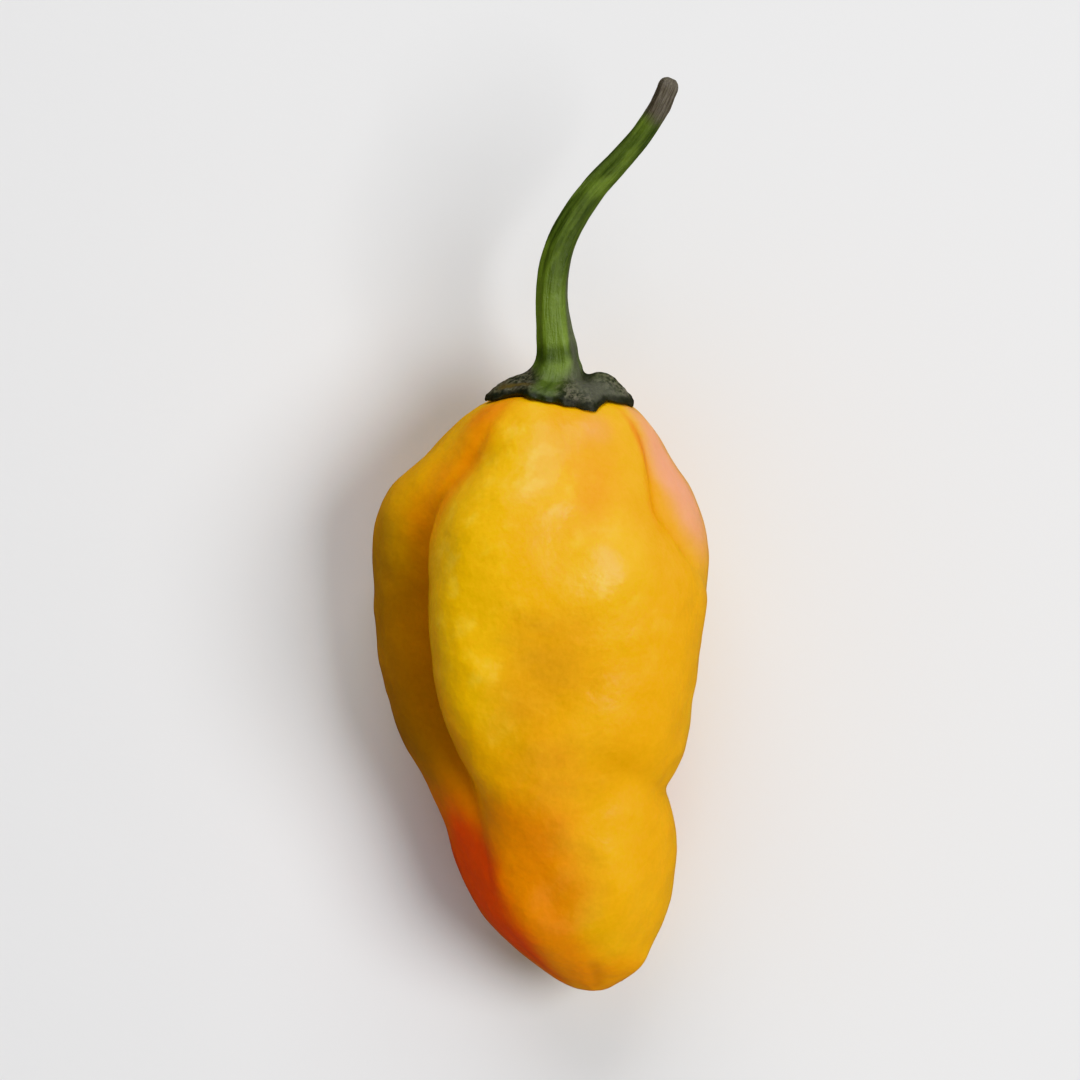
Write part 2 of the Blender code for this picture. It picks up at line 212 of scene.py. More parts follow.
# Patches of colour in the skin: distance down, turn, reach down, reach round in degrees, and strength
PATCHES = {
    "orange_blush": (
        (7.6, 69, 3.6, 15, 0.40), (4.2, 78, 3.0, 14, 0.12), (4.0, 30, 3.5, 5, 0.80),
        (8.5, 36, 3.0, 5, 0.50), (1.3, 146, 1.4, 16, 0.85), (2.0, 66, 2.6, 16, 0.25),
        (3.6, 136, 4.5, 11, 0.62), (8.5, 139, 4.5, 8, 0.48), (13.0, 152, 9.0, 13, 0.80),
        (23.0, 129, 7.0, 6, 0.30), (27.0, 152, 10.0, 13, 0.85), (32.0, 150, 5.0, 14, 0.80),
        (30.0, 126, 4.0, 7, 0.35), (28.0, 88, 4.0, 18, 0.22), (35.0, 90, 5.0, 20, 0.42),
        (33.5, 140, 4.0, 8, 0.50), (37.3, 121, 4.2, 17, 0.85), (39.8, 110, 5.6, 22, 0.90),
        (45.0, 106, 6.5, 25, 0.95), (51.0, 96, 3.0, 45, 0.80), (51.5, 40, 2.5, 35, 0.60),
        (27.0, 178, 9.0, 16, 0.60), (41.0, 190, 13.0, 46, 0.80), (12.0, 205, 8.0, 22, 0.60),
        (26.0, 232, 10.0, 20, 0.45), (33.0, 262, 9.0, 26, 0.60), (37.0, 322, 9.0, 26, 0.60),
        (9.0, 300, 6.0, 22, 0.50), (22.0, 350, 7.0, 16, 0.30),
    ),
    "red_flank": (
        (40.0, 156, 4.2, 17, 0.90), (42.5, 144, 6.0, 18, 1.00), (47.5, 140, 4.5, 24, 0.95),
        (43.0, 178, 8.0, 28, 0.75), (41.0, 210, 9.0, 30, 0.50),
    ),
    # Painted reflection: a pale pink sheen on the shoulder
    "painted_pink_sheen": (
        (6.0, 12, 6.0, 16, 0.90), (10.5, 8, 4.5, 14, 0.45), (2.0, 62, 2.4, 14, 0.42),
    ),
    "sunlit_yellow": (
        (13.0, 114, 11.0, 17, 0.95), (4.5, 106, 5.0, 16, 0.90), (22.0, 110, 6.0, 11, 0.80),
        (13.0, 68, 4.0, 15, 0.95), (6.6, 86, 3.4, 14, 0.60), (19.0, 50, 6.0, 14, 0.30),
        (18.0, 232, 9.0, 22, 0.60), (16.0, 322, 9.0, 24, 0.55),
    ),
    # A deeper amber, laid mostly in the dents, where it is painted shade
    "deep_amber_dent_shade": (
        (22.5, 84, 4.5, 18, 0.65), (25.0, 94, 4.0, 14, 0.50), (31.0, 72, 5.0, 22, 0.35),
        (18.6, 80, 2.0, 14, 0.40), (31.0, 60, 2.6, 20, 0.45), (29.0, 30, 6.0, 18, 0.30),
        (41.0, 80, 4.0, 14, 0.35), (22.0, 250, 8.0, 22, 0.60),
    ),
    # Painted shade: a dark brown-orange on the pod's left side beside its furrow, and in a patch underneath
    # near the calyx
    "painted_lobe_shade": (
        (11.0, 176, 7.0, 20, 0.35), (19.0, 172, 8.5, 26, 0.62), (28.0, 162, 8.0, 24, 0.84),
        (4.0, 250, 4.0, 40, 0.50),
    ),
}

# Calyx: how far its rim lies from the middle along the skin, and each tooth's turn, length, hump and lift
CALYX_RIM = 5.3
CALYX_THICKNESS = 1.05
# The calyx's underside lies this far from the pod's skin
CALYX_GAP = 0.10
RIM_FULLNESS = 3.5
LIFT_LATENESS = 5
CALYX_TEETH = (
    (4, 1.3, 0.80, -0.1), (64, 1.2, 0.15, 0.0), (128, -0.5, 0.0, 0.0), (176, 0.8, 0.35, 0.1),
    (236, 1.1, 0.2, 0.8), (302, 1.2, 0.3, 0.6),
)
TOOTH_WIDTH = 20.0
HUMP_PLACE = 0.56
HUMP_REACH = 0.24
CALYX_RISE = 1.6
CALYX_RISE_REACH = 3.2
# Waves of the dried rim: how many round it, phase in degrees, and swing
RIM_WAVES = ((7, 40, 0.16), (11, 200, 0.10), (19, 10, 0.07))

# Stem, root first: side, distance up from the calyx seat, height, and radius
STEM_ROUTE = (
    (1.75, 0.9, 0.0, 3.4), (1.75, 1.6, 0.0, 2.9), (1.75, 2.4, 0.0, 2.35), (1.65, 3.6, 0.0, 1.85),
    (1.35, 5.4, 0.1, 1.52), (1.1, 7.6, 0.25, 1.36), (1.1, 9.6, 0.45, 1.3), (1.35, 11.6, 0.7, 1.28),
    (1.95, 13.6, 1.0, 1.25), (3.1, 15.8, 1.35, 1.2), (4.9, 18.3, 1.8, 1.1), (6.9, 20.5, 2.2, 1.0),
    (8.8, 22.7, 2.6, 0.93), (10.2, 24.9, 3.0, 0.88), (11.0, 26.6, 3.25, 0.84), (11.3, 27.4, 3.35, 0.85),
)
STEM_END_GAP = 0.25
# Where the stem's own surface ends and where the calyx's begins: distance up, and distance from the middle
FLARE_START = 3.3
FLARE_END = 3.3
# How much further along than the stem's lowest row the calyx counts as being, at its middle and at its rim
CALYX_ALONG = (2.0, 5.0)
# The share of the way out to the rim at which the calyx's underside starts
UNDERSIDE_START = 0.96
# The dried cut end: how far back its rounding reaches, the rows across it, and the pit in its middle
END_ROUNDING = 0.80
END_ROWS = (0.0, 0.006, 0.03, 0.07, 0.12, 0.18)
END_PIT = 0.10
# Ribs and streaks fade out where the rings of the mesh have a smaller radius than this, as on the cut end
FULL_RING = 0.80
# Distance along the stem at which it starts to dry out, and over which it turns brown and wrinkled
DRY_FROM = 25.0
BROWN_AFTER = 2.5
WRINKLED_AFTER = 3.0
# Ribs: degrees that they turn for each millimetre along, their width, the valleys between them, and how
# much higher they are near the calyx, with the place and reach of that
STEM_TWIST = 1.6
RIB_WIDTH = 15.0
RIB_VALLEY = 0.4
RIB_GAIN = 1.3
RIB_GAIN_PLACE = (2.5, 3.5)
# Radius of the coordinates that the fibres and wrinkles follow, their length for each millimetre along the
# stem, and how many times longer they are for the wrinkles
FIBRE_RADIUS = 2.2
FIBRE_STRETCH = 0.16
WRINKLE_STRETCH = 2.2
# Grains to the millimetre, and heights, of the relief on the stem, on the calyx and on the cut end
FIBRE_GRAIN, WRINKLE_GRAIN, BUMP_GRAIN, PIT_GRAIN, CUT_GRAIN = 1.6, 1.3, 1.1, 2.6, 2.4
FIBRE_HEIGHT, WRINKLE_HEIGHT, BUMP_HEIGHT, PIT_HEIGHT, CUT_HEIGHT = 0.055, 0.07, 0.14, 0.07, 0.05
CALYX_FIBRE_HEIGHT = 0.06
# Radius of the coordinates that the stem's streaks of colour follow
STREAK_RADIUS = 1.5
# Where the stem's green runs down between two lobes of the calyx: turn and width, and how green it stays
TONGUE = (104.0, 17.0)
TONGUE_GREEN = 0.9
# The lobe of the calyx that is dry and dark right up to the stem
DARK_LOBE = (170.0, 32.0)
# Where along the stem's foot the calyx's dry colour sets in, and its share there and on the calyx's top
DRY_FOOT = (0.2, 2.6)
DRY_FOOT_SHARE = 0.65
DRY_TOP_SHARE = 0.35
# The calyx's dark edge, as shares of the way to its rim
DARK_RIM = (0.70, 1.0)
# The stem's greyer side: turn and width at the root, the least share of that width, the reach of the root,
# and where along the stem it fades
GREY_SIDE_TURN = 44.0
GREY_SIDE_WIDTH = 30.0
GREY_SIDE_LEAST = 0.45
ROOT_REACH = 5.0
GREY_SIDE_END = (9, 17)
# The straw-brown husk on one lobe of the calyx: turn and width, and place and reach on the way to the rim
HUSK_SIDE = (146.0, 24.0)
HUSK_PLACE = (0.55, 0.19)
# The cleft between the stem and the lobe beside it: turn and width, and places, reaches and depths along it
CLEFT_SIDE = (6.0, 30.0)
CLEFTS = ((0.75, 0.6, 0.45), (2.2, 0.9, 0.36))
# Place and reach of the stem's fresh green stretch, and of a darker ring just above where it spreads
FRESH_STRETCH = (6.0, 4.0)
ROOT_RING = (3.0, 0.9)
ROOT_RING_SHADE = 0.8

STEM_STATIONS = 160
STEM_ROWS = 64
CALYX_ROWS = 14
UNDERSIDE_ROWS = 8
STEM_COLUMNS = 168
STEM_RINGS = 420

# Lights: name, place, size, and power as a share of the main light's
LIGHTS = (
    ("key_light", (0.45, 0.00, 0.66), 0.46, 1.0), ("far_light", (-0.08, 0.95, 0.56), 1.00, 1.8),
    ("near_light", (0.00, -0.75, 0.60), 0.80, 0.37),
)
# How bright the room and the pale surface are in reflections, as a share of how bright they are otherwise
REFLECTED_ROOM = 0.25
REFLECTED_FLOOR = 0.15
SENSOR = 0.036
NEAREST_SEEN = 0.01


def smooth_read(places, values, at):
    """Reads smoothly between values, or whole rows of points, that stand at the given places."""
    slopes = np.gradient(values, places, axis=0)
    first = np.clip(np.searchsorted(places, at, side="right") - 1, 0, len(places) - 2)
    span = places[first + 1] - places[first]
    f = np.clip((at - places[first]) / span, 0, 1)
    widened = (..., *[None] * (values.ndim - 1))
    span, f = span[widened], f[widened]
    near = values[first] * (1 + 2 * f) + slopes[first] * span * f
    far = values[first + 1] * (3 - 2 * f) - slopes[first + 1] * span * (1 - f)
    return near * (1 - f) ** 2 + far * f**2


def curve_through(stations, at):
    """Reads a smooth curve through (place, value) stations at the given places."""
    return smooth_read(*np.array(stations, float).T, at)


def wrapped(degrees):
    """The same angle between -180 and 180 degrees."""
    return (degrees + 180) % 360 - 180


def smooth_step(value, low, high):
    """0 below low and 1 above high, with a soft change between them."""
    f = np.clip((value - low) / (high - low), 0, 1)
    return f * f * (3 - 2 * f)


def bell(value, middle, reach):
    """1 where the value is at the middle, with a soft fall on both sides."""
    return np.exp(-(((value - middle) / reach) ** 2))


def strip(turn, middle, width):
    """1 along one turn, with a soft fall to both sides of it."""
    return bell(wrapped(turn - middle), 0, width)


def spot(turn, down, place, angle, reach, spread):
    """1 at one place of the pod's skin, with a soft fall all round it."""
    return np.exp(-(((down - place) / reach) ** 2 + (wrapped(turn - angle) / spread) ** 2))


def walked(route):
    """How far along a route each of its points lies."""
    return np.concatenate([[0], np.cumsum(np.linalg.norm(np.diff(route, axis=0), axis=-1))])


def outline_stations():
    """The pod outline against the share of its length walked from the calyx to the blossom end."""
    lengths = walked(POD_OUTLINE)
    return np.column_stack([lengths / lengths[-1], POD_OUTLINE])


def furrow_share(turn, down):
    """The share of the radius that the furrows take away."""
    share = 0
    for furrow in FURROWS:
        away = wrapped(turn - curve_through(furrow["turn"], down))
        away = np.sqrt(away**2 + FURROW_ROUNDING**2) - FURROW_ROUNDING
        valley = np.clip(1 - away / FURROW_REACH, 0, 1) ** FURROW_POWER
        share = share + curve_through(furrow["depth"], down) * valley
    return share


def swelling_height(turn, down, swellings):
    """The height of swellings and dents together, in millimetres."""
    return sum(rise * spot(turn, down, *where) for *where, rise in swellings)


def relief(turn, down):
    """The height of the swellings, the fold and the slow waves, in millimetres."""
    height = swelling_height(turn, down, SWELLINGS)
    angles, places, depths = np.array(FOLD).T
    away = (down - np.interp(wrapped(turn), angles, places)) / FOLD_REACH
    away = np.hypot(away, FOLD_SOFTNESS) - FOLD_SOFTNESS
    height = height - np.interp(wrapped(turn), angles, depths) * np.clip(1 - away, 0, 1) ** 2
    for count, length, phase, rise in WAVES:
        along = 2 * math.pi * down / length
        swing = np.radians(turn * count + phase) + np.sin(along)
        height = height + rise * np.sin(swing) * np.cos(along + math.radians(phase))
    return height


def creases(turn, down, girth):
    """The depth of the fine creases, in millimetres. Each one fades out at its ends."""
    depth = np.zeros_like(down)
    for deepest, width, path in CREASES:
        path = np.array(path, float)
        lengths = walked(np.column_stack([path[:, 0], np.radians(path[:, 1]) * CREASE_RADIUS]))
        nearest = np.full_like(down, 1e6)
        share = np.zeros_like(down)
        for i in range(len(path) - 1):
            along_down = path[i + 1, 0] - path[i, 0]
            along_round = np.radians(path[i + 1, 1] - path[i, 1]) * girth
            to_down = down - path[i, 0]
            to_round = np.radians(wrapped(turn - path[i, 1])) * girth
            f = (to_down * along_down + to_round * along_round) / (along_down**2 + along_round**2 + 1e-9)
            f = np.clip(f, 0, 1)
            away = np.hypot(to_down - f * along_down, to_round - f * along_round)
            passed = lengths[i] + f * (lengths[i + 1] - lengths[i])
            share = np.where(away < nearest, passed / lengths[-1], share)
            nearest = np.minimum(away, nearest)
        fade = smooth_step(share, 0, 0.25) * (1 - smooth_step(share, 0.75, 1))
        depth = depth + deepest * fade * np.exp(-((nearest / width) ** 2))
    return depth


def pod_skin(turn, step, fine=False):
    """Points of the pod's skin: turn in degrees, and step from 0 at the calyx to 1 at the blossom end."""
    stations = outline_stations()
    down = curve_through(stations[:, [0, 1]], step)
    girth = curve_through(stations[:, [0, 2]], step)
    fade = np.clip(girth / FULL_RELIEF_RADIUS, 0, 1) ** 2
    radius = girth * (1 - furrow_share(turn, down)) + fade * relief(turn, down)
    if fine:
        radius = radius - np.minimum(creases(turn, down, girth), CREASE_LIMIT * girth)
        radius = radius + fade * swelling_height(turn, down, SMALL_SWELLINGS)
    side, rise = np.cos(np.radians(turn)), np.sin(np.radians(turn))
    height = np.where(rise > 0, curve_through(POD_TOP, down), curve_through(POD_UNDERSIDE, down))
    x = curve_through(POD_MIDDLE, down) + radius * side
    z = curve_through(POD_BEND, down) + radius * rise * height
    shoulder = strip(turn, *SHOULDER_SIDE) * bell(girth, *SHOULDER_PLACE)
    shoulder = SHOULDER_RISE * shoulder * (step < 0.5)
    return np.stack([x, shoulder - down, z], axis=-1)


def skin_normal(turn, step):
    """Unit normals of the pod's skin, facing out. At the calyx seat they are taken from close beside it."""
    step = np.maximum(step, 2 * NORMAL_STEP)
    across = pod_skin(turn + NORMAL_TURN, step) - pod_skin(turn - NORMAL_TURN, step)
    along = pod_skin(turn, step + NORMAL_STEP) - pod_skin(turn, step - NORMAL_STEP)
    normal = np.cross(across, along)
    return normal / np.linalg.norm(normal, axis=-1, keepdims=True)


def column_turn(column, down):
    """The turn of a lengthwise line of the mesh. The lines follow the furrows and gather beside them."""
    starts = [curve_through(furrow["turn"], down) for furrow in FURROWS]
    starts = np.stack([*starts, starts[0] + 360])
    lobe = (column // LOBE_COLUMNS).astype(int)
    share = column / LOBE_COLUMNS - lobe
    share = share - GATHERING * np.sin(2 * math.pi * share) / (2 * math.pi)
    index = np.arange(len(column))
    return starts[lobe, index] * (1 - share) + starts[lobe + 1, index] * share


def laid(points):
    """Points of the pepper's own frame, in millimetres, turned and placed as it lies, in metres."""
    turned = np.array(Euler((math.radians(LIE_TILT), math.radians(LIE_ROLL), 0)).to_matrix())
    return (points @ turned.T + LIE_PLACE) * MM


def deselect_all():
    """Nothing is selected, so that the next operator acts on its own piece."""
    bpy.ops.object.select_all(action="DESELECT")


def new_ball(name, columns, rings):
    """A ball with each vertex's column and its share of the way from the first pole to the last."""
    deselect_all()
    bpy.ops.mesh.primitive_uv_sphere_add(segments=columns, ring_count=rings, radius=1, calc_uvs=False)
    piece = bpy.context.object
    piece.name = piece.data.name = name
    points = np.empty(len(piece.data.vertices) * 3)
    piece.data.vertices.foreach_get("co", points)
    x, y, z = points.reshape(-1, 3).T
    column = np.round(np.arctan2(y, x) / (2 * math.pi) * columns) % columns
    share = np.arccos(np.clip(z, -1, 1)) / math.pi
    return piece, column, share


def place_points(piece, points):
    """Puts the piece's vertices at points given in metres, and turns its faces outwards."""
    piece.data.vertices.foreach_set("co", points.astype(np.float32).ravel())
    piece.data.update()
    bpy.ops.object.mode_set(mode="EDIT")
    bpy.ops.mesh.select_all(action="SELECT")
    bpy.ops.mesh.normals_make_consistent(inside=False)
    bpy.ops.object.mode_set(mode="OBJECT")
    bpy.ops.object.shade_smooth()


def rest_on_floor(piece):
    """Presses whatever reaches below the surface flat onto it."""
    for vertex in piece.data.vertices:
        vertex.co.z = max(vertex.co.z, 0)


def rough_up(piece, name, grain, height):
    """Raises and lowers the piece's surface by soft noise of one grain, both in metres."""
    texture = bpy.data.textures.new(name, "CLOUDS")
    texture.noise_scale = grain
    texture.noise_depth = 1
    bpy.ops.object.modifier_add(type="DISPLACE")
    modifier = piece.modifiers[-1]
    modifier.name = name
    modifier.texture = texture
    modifier.texture_coords = "LOCAL"
    modifier.strength = height
    modifier.mid_level = 0.5
    bpy.ops.object.modifier_apply(modifier=modifier.name)
    bpy.data.textures.remove(texture)


def add_field(piece, name, values):
    """Keeps one number for each vertex in the mesh, for the material to read."""
    field = piece.data.attributes.new(name, "FLOAT", "POINT")
    field.data.foreach_set("value", np.asarray(values, np.float32).ravel())


def add_place_field(piece, name, values):
    """Keeps one place for each vertex in the mesh, for the material to read."""
    field = piece.data.attributes.new(name, "FLOAT_VECTOR", "POINT")
    field.data.foreach_set("vector", np.asarray(values, np.float32).ravel())


def set_inputs(tree, made, inputs):
    """Sets a node's inputs to values, or links them to sockets."""
    for key, value in inputs.items():
        if isinstance(value, bpy.types.NodeSocket):
            tree.links.new(value, made.inputs[key])
        else:
            made.inputs[key].default_value = value
    return made


def add_node(tree, kind, inputs=None, **settings):
    """A shader node with its settings, and its inputs set to values or linked to sockets."""
    made = tree.nodes.new(kind)
    for key, value in settings.items():
        setattr(made, key, value)
    return set_inputs(tree, made, inputs or {})


def field_of(tree, name, output="Fac"):
    """A field of the mesh as a socket."""
    return add_node(tree, "ShaderNodeAttribute", attribute_name=name).outputs[output]


def blended(tree, amount, under, over, blend_type="MIX"):
    """One colour laid over another by an amount."""
    under, over = (c if isinstance(c, bpy.types.NodeSocket) else (*c, 1) for c in (under, over))
    made = add_node(tree, "ShaderNodeMix", {0: amount, 6: under, 7: over}, data_type="RGBA")
    made.blend_type = blend_type
    return made.outputs[2]


def calculated(tree, operation, first, second=0.0, clamp=False):
    """A number worked out from two others."""
    inputs = {0: first, 1: second}
    return add_node(tree, "ShaderNodeMath", inputs, operation=operation, use_clamp=clamp).outputs[0]


def remapped(tree, value, low, high, to_low=0.0, to_high=1.0):
    """A number's range from low to high, turned softly into another range."""
    inputs = {"Value": value, "From Min": low, "From Max": high, "To Min": to_low, "To Max": to_high}
    made = add_node(tree, "ShaderNodeMapRange", inputs, interpolation_type="SMOOTHSTEP")
    return made.outputs["Result"]


def stretched(tree, place, scale):
    """A place with each direction made longer or shorter, so that a pattern on it stretches."""
    return add_node(tree, "ShaderNodeMapping", {"Vector": place, "Scale": scale}).outputs["Vector"]


def noise_on(tree, place, scale, detail=2.0, roughness=0.5, distortion=0.0):
    """Soft noise from 0 to 1, with this many grains to the unit of the place."""
    inputs = {"Vector": place, "Scale": scale, "Detail": detail, "Roughness": roughness}
    inputs["Distortion"] = distortion
    return add_node(tree, "ShaderNodeTexNoise", inputs, noise_dimensions="3D").outputs["Fac"]


def new_group(name, kinds, changed):
    """A new group with inputs of these kinds, their values, and the output that gives one back changed."""
    group = bpy.data.node_groups.new(name, "ShaderNodeTree")
    for label, kind in kinds.items():
        group.interface.new_socket(name=label, in_out="INPUT", socket_type="NodeSocket" + kind)
    group.interface.new_socket(name=changed, in_out="OUTPUT", socket_type="NodeSocket" + kinds[changed])
    given = group.nodes.new("NodeGroupInput").outputs
    return group, given, group.nodes.new("NodeGroupOutput").inputs[changed]


def ragged_mask_group():
    """Shared by the materials: a smooth mask whose edge is broken up by noise."""
    kinds = {"Place": "Vector", "Mask": "Float", "Grain": "Float", "Raggedness": "Float"}
    group, given, result = new_group("ragged_mask", kinds, "Mask")
    coarse = noise_on(group, given["Place"], given["Grain"], detail=4.0, roughness=0.6)
    swing = calculated(group, "SUBTRACT", coarse, 0.5)
    swing = calculated(group, "MULTIPLY", swing, given["Raggedness"])
    edge = calculated(group, "ADD", given["Mask"], swing)
    group.links.new(remapped(group, edge, 0.08, 0.92), result)
    return group


def mottle_group():
    """Shared by the materials: a colour made lighter and darker in soft spots of two sizes."""
    kinds = {"Place": "Vector", "Colour": "Color", "Grain": "Float", "Strength": "Float"}
    group, given, result = new_group("mottle", kinds, "Colour")
    wide = noise_on(group, given["Place"], given["Grain"], detail=3.0)
    narrow = noise_on(group, given["Place"], calculated(group, "MULTIPLY", given["Grain"], 5.0))
    both = calculated(group, "MULTIPLY", calculated(group, "ADD", wide, narrow), 0.5)
    swing = calculated(group, "MULTIPLY", calculated(group, "SUBTRACT", both, 0.5), given["Strength"])
    inputs = {0: given["Colour"], "Scale": calculated(group, "ADD", 1.0, swing)}
    scaled = add_node(group, "ShaderNodeVectorMath", inputs, operation="SCALE")
    group.links.new(scaled.outputs["Vector"], result)
    return group


def shared_group(name):
    """One of the two shared effects, made the first time that it is asked for."""
    makers = {"ragged_mask": ragged_mask_group, "mottle": mottle_group}
    return bpy.data.node_groups.get(name) or makers[name]()


def ragged(tree, place, mask, grain, raggedness):
    """A mask with a broken edge."""
    inputs = {"Place": place, "Mask": mask, "Grain": grain, "Raggedness": raggedness}
    return add_node(tree, "ShaderNodeGroup", inputs, node_tree=shared_group("ragged_mask")).outputs["Mask"]


def mottled(tree, place, colour, grain, strength):
    """A colour with soft spots."""
    inputs = {"Place": place, "Colour": colour, "Grain": grain, "Strength": strength}
    return add_node(tree, "ShaderNodeGroup", inputs, node_tree=shared_group("mottle")).outputs["Colour"]


def new_material(name):
    """A material with its tree, its Principled shader and the place of each point on the piece."""
    made = bpy.data.materials.new(name)
    made.use_nodes = True
    tree = made.node_tree
    place = tree.nodes.new("ShaderNodeTexCoord").outputs["Object"]
    return made, tree, tree.nodes["Principled BSDF"], place


def bumped(tree, height, distance, strength, normal=None):
    """A normal tilted by a height field."""
    inputs = {"Height": height, "Distance": distance, "Strength": strength}
    if normal is not None:
        inputs["Normal"] = normal
    return add_node(tree, "ShaderNodeBump", inputs).outputs["Normal"]


def skin_material(settings):
    """Waxy pepper skin: yellow and amber, with blushes of orange and red, painted sunlit patches with pale
    flecks, a painted pink sheen on the shoulder, and painted shade in the furrows, the creases, the dents
    and on one lobe.
    """
    made, tree, shader, place = new_material("pepper_skin")
    broad = noise_on(tree, place, 90.0, detail=3.0, distortion=0.3)
    colour = blended(tree, remapped(tree, broad, 0.40, 0.70, 0.0, 0.6), settings.amber, settings.yellow)
    for field, over, grain, raggedness in (
        ("sunlit_yellow", settings.yellow, 170.0, 0.30),
        # deeper amber, painted shade in the dents
        ("deep_amber_dent_shade", settings.deep_amber_dent_shade, 180.0, 0.35),
        ("orange_blush", settings.orange, 260.0, 0.50),
        # painted shade on the pod's left side
        ("painted_lobe_shade", settings.lobe_shade, 190.0, 0.45),
        ("red_flank", settings.red, 230.0, 0.50),
        # painted reflection: the pale pink sheen on the shoulder
        ("painted_pink_sheen", settings.pink_sheen, 230.0, 0.45),
    ):
        colour = blended(tree, ragged(tree, place, field_of(tree, field), grain, raggedness), colour, over)
    # Painted shade in the furrows, darker where they are deeper
    furrow = remapped(tree, field_of(tree, "furrow_shade_mask"), 0.2, 1.0, 0.0, settings.furrow_shade)
    colour = blended(tree, furrow, colour, settings.furrow)
    # Painted shade in the fine creases
    crease = calculated(tree, "MULTIPLY", field_of(tree, "crease_shade_mask"), 0.35, clamp=True)
    colour = blended(tree, crease, colour, settings.furrow)
    # Pale flecks, laid only in the painted sunlit patches: a painted speckled highlight
    flecks = remapped(tree, noise_on(tree, place, 480.0, detail=3.0), 0.48, 0.72)
    flecks = calculated(tree, "MULTIPLY", flecks, field_of(tree, "sunlit_yellow"))
    flecks = calculated(tree, "MULTIPLY", flecks, settings.fleck_strength)
    colour = blended(tree, flecks, colour, settings.flecks)
    colour = mottled(tree, place, colour, 480.0, 0.32)
    scar = ragged(tree, place, field_of(tree, "blossom_scar"), 1500.0, 0.5)
    sheen = noise_on(tree, place, 260.0, detail=3.0)
    normal = None
    for grain, distance, strength in (
        (420.0, 0.0006, 0.28), (1000.0, 0.0003, 0.22), (2400.0, 0.00014, 0.16),
    ):
        normal = bumped(tree, noise_on(tree, place, grain), distance, strength, normal)
    set_inputs(tree, shader, {
        "Base Color": blended(tree, scar, colour, settings.scar),
        "Roughness": remapped(tree, sheen, 0.3, 0.7, 0.34, 0.44),
        "Normal": normal,
        "Specular IOR Level": 0.30,
        "Subsurface Weight": 0.20,
        "Subsurface Radius": (1.0, 0.42, 0.10),
        "Subsurface Scale": 0.0012,
        "IOR": 1.46,
        "Coat Weight": 0.17,
        "Coat Roughness": 0.31,
    })
    return made


def stem_material(settings):
    """Green plant tissue: streaked along the stem, dark and dry on the calyx, with painted shade in the
    cleft beside the stem, brown at the cut end.
    """
    made, tree, shader, place = new_material("stem_and_calyx")
    along = field_of(tree, "stem_place", "Vector")
    fibres = noise_on(tree, stretched(tree, along, (1.0, 1.0, 0.055)), 2.4, detail=3.0, roughness=0.55)
    broad = noise_on(tree, stretched(tree, along, (0.5, 0.5, 0.18)), 1.0)
    thin = noise_on(tree, stretched(tree, along, (1.0, 1.0, 0.045)), 7.5, detail=3.0, roughness=0.65)
    shade = remapped(tree, fibres, 0.34, 0.60, 0.25, 1.0)
    colour = blended(tree, shade, settings.dark_green, settings.green)
    colour = blended(tree, remapped(tree, broad, 0.44, 0.68, 0.0, 0.7), colour, settings.pale_green)
    colour = blended(tree, remapped(tree, thin, 0.55, 0.72, 0.0, 0.5), colour, settings.dark_green)
    fresh = remapped(tree, field_of(tree, "root_share"), 0.0, 1.0, 0.0, 0.65)
    colour = blended(tree, fresh, colour, settings.pale_green, "LIGHTEN")

    spotted = noise_on(tree, place, 2900.0, detail=4.0, roughness=0.65)
    dry = blended(tree, remapped(tree, spotted, 0.38, 0.64), settings.black_green, settings.grey_green)
    rust = noise_on(tree, place, 1500.0, detail=4.0, roughness=0.6)
    dry = blended(tree, remapped(tree, rust, 0.48, 0.70, 0.0, 0.6), dry, settings.brown)
    dry = blended(tree, remapped(tree, thin, 0.46, 0.70, 0.0, 0.7), dry, settings.black_green)
    dried = blended(tree, remapped(tree, thin, 0.4, 0.6), settings.brown, settings.dark_brown)
    masks = {}
    for field, over, strength, grain, raggedness in (
        ("root_shade", settings.dark_green, 0.7, 800.0, 1.0),
        ("calyx_mask", dry, 1.0, 900.0, 0.5),
        ("grey_side", settings.grey_side, 0.8, 700.0, 0.4),
        # painted shade in the cleft beside the stem
        ("cleft", settings.black_green, 0.8, 1100.0, 0.4),
        ("rim_mask", settings.black_green, 0.85, 1100.0, 0.8),
        ("husk", settings.husk, 1.0, 900.0, 0.7),
        ("dry_end", dried, 1.0, 900.0, 0.45),
    ):
        masks[field] = ragged(tree, place, field_of(tree, field), grain, raggedness)
        colour = blended(tree, calculated(tree, "MULTIPLY", masks[field], strength), colour, over)
    rough = remapped(tree, fibres, 0.3, 0.7, 0.42, 0.58)
    drier = calculated(tree, "MULTIPLY", masks["calyx_mask"], 0.16)
    lines = bumped(tree, thin, 0.00020, 0.45)
    set_inputs(tree, shader, {
        "Base Color": mottled(tree, place, colour, 1300.0, 0.6),
        "Roughness": calculated(tree, "ADD", rough, drier),
        "Normal": bumped(tree, spotted, 0.00022, 0.35, lines),
        "Subsurface Weight": 0.05,
        "Subsurface Radius": (0.5, 0.8, 0.2),
        "Subsurface Scale": 0.0006,
    })
    return made


def floor_material(settings):
    """A pale matte surface with the faintest grain."""
    made, tree, shader, place = new_material("pale_surface")
    colour = mottled(tree, place, (*settings.floor_colour, 1), 25.0, 0.015)
    reflected = add_node(tree, "ShaderNodeLightPath").outputs["Is Glossy Ray"]
    dimmer = [channel * REFLECTED_FLOOR for channel in settings.floor_colour]
    set_inputs(tree, shader, {
        "Base Color": blended(tree, reflected, colour, dimmer),
        "Roughness": 0.7,
        "Normal": bumped(tree, noise_on(tree, place, 900.0), 0.0002, 0.05),
    })
    return made


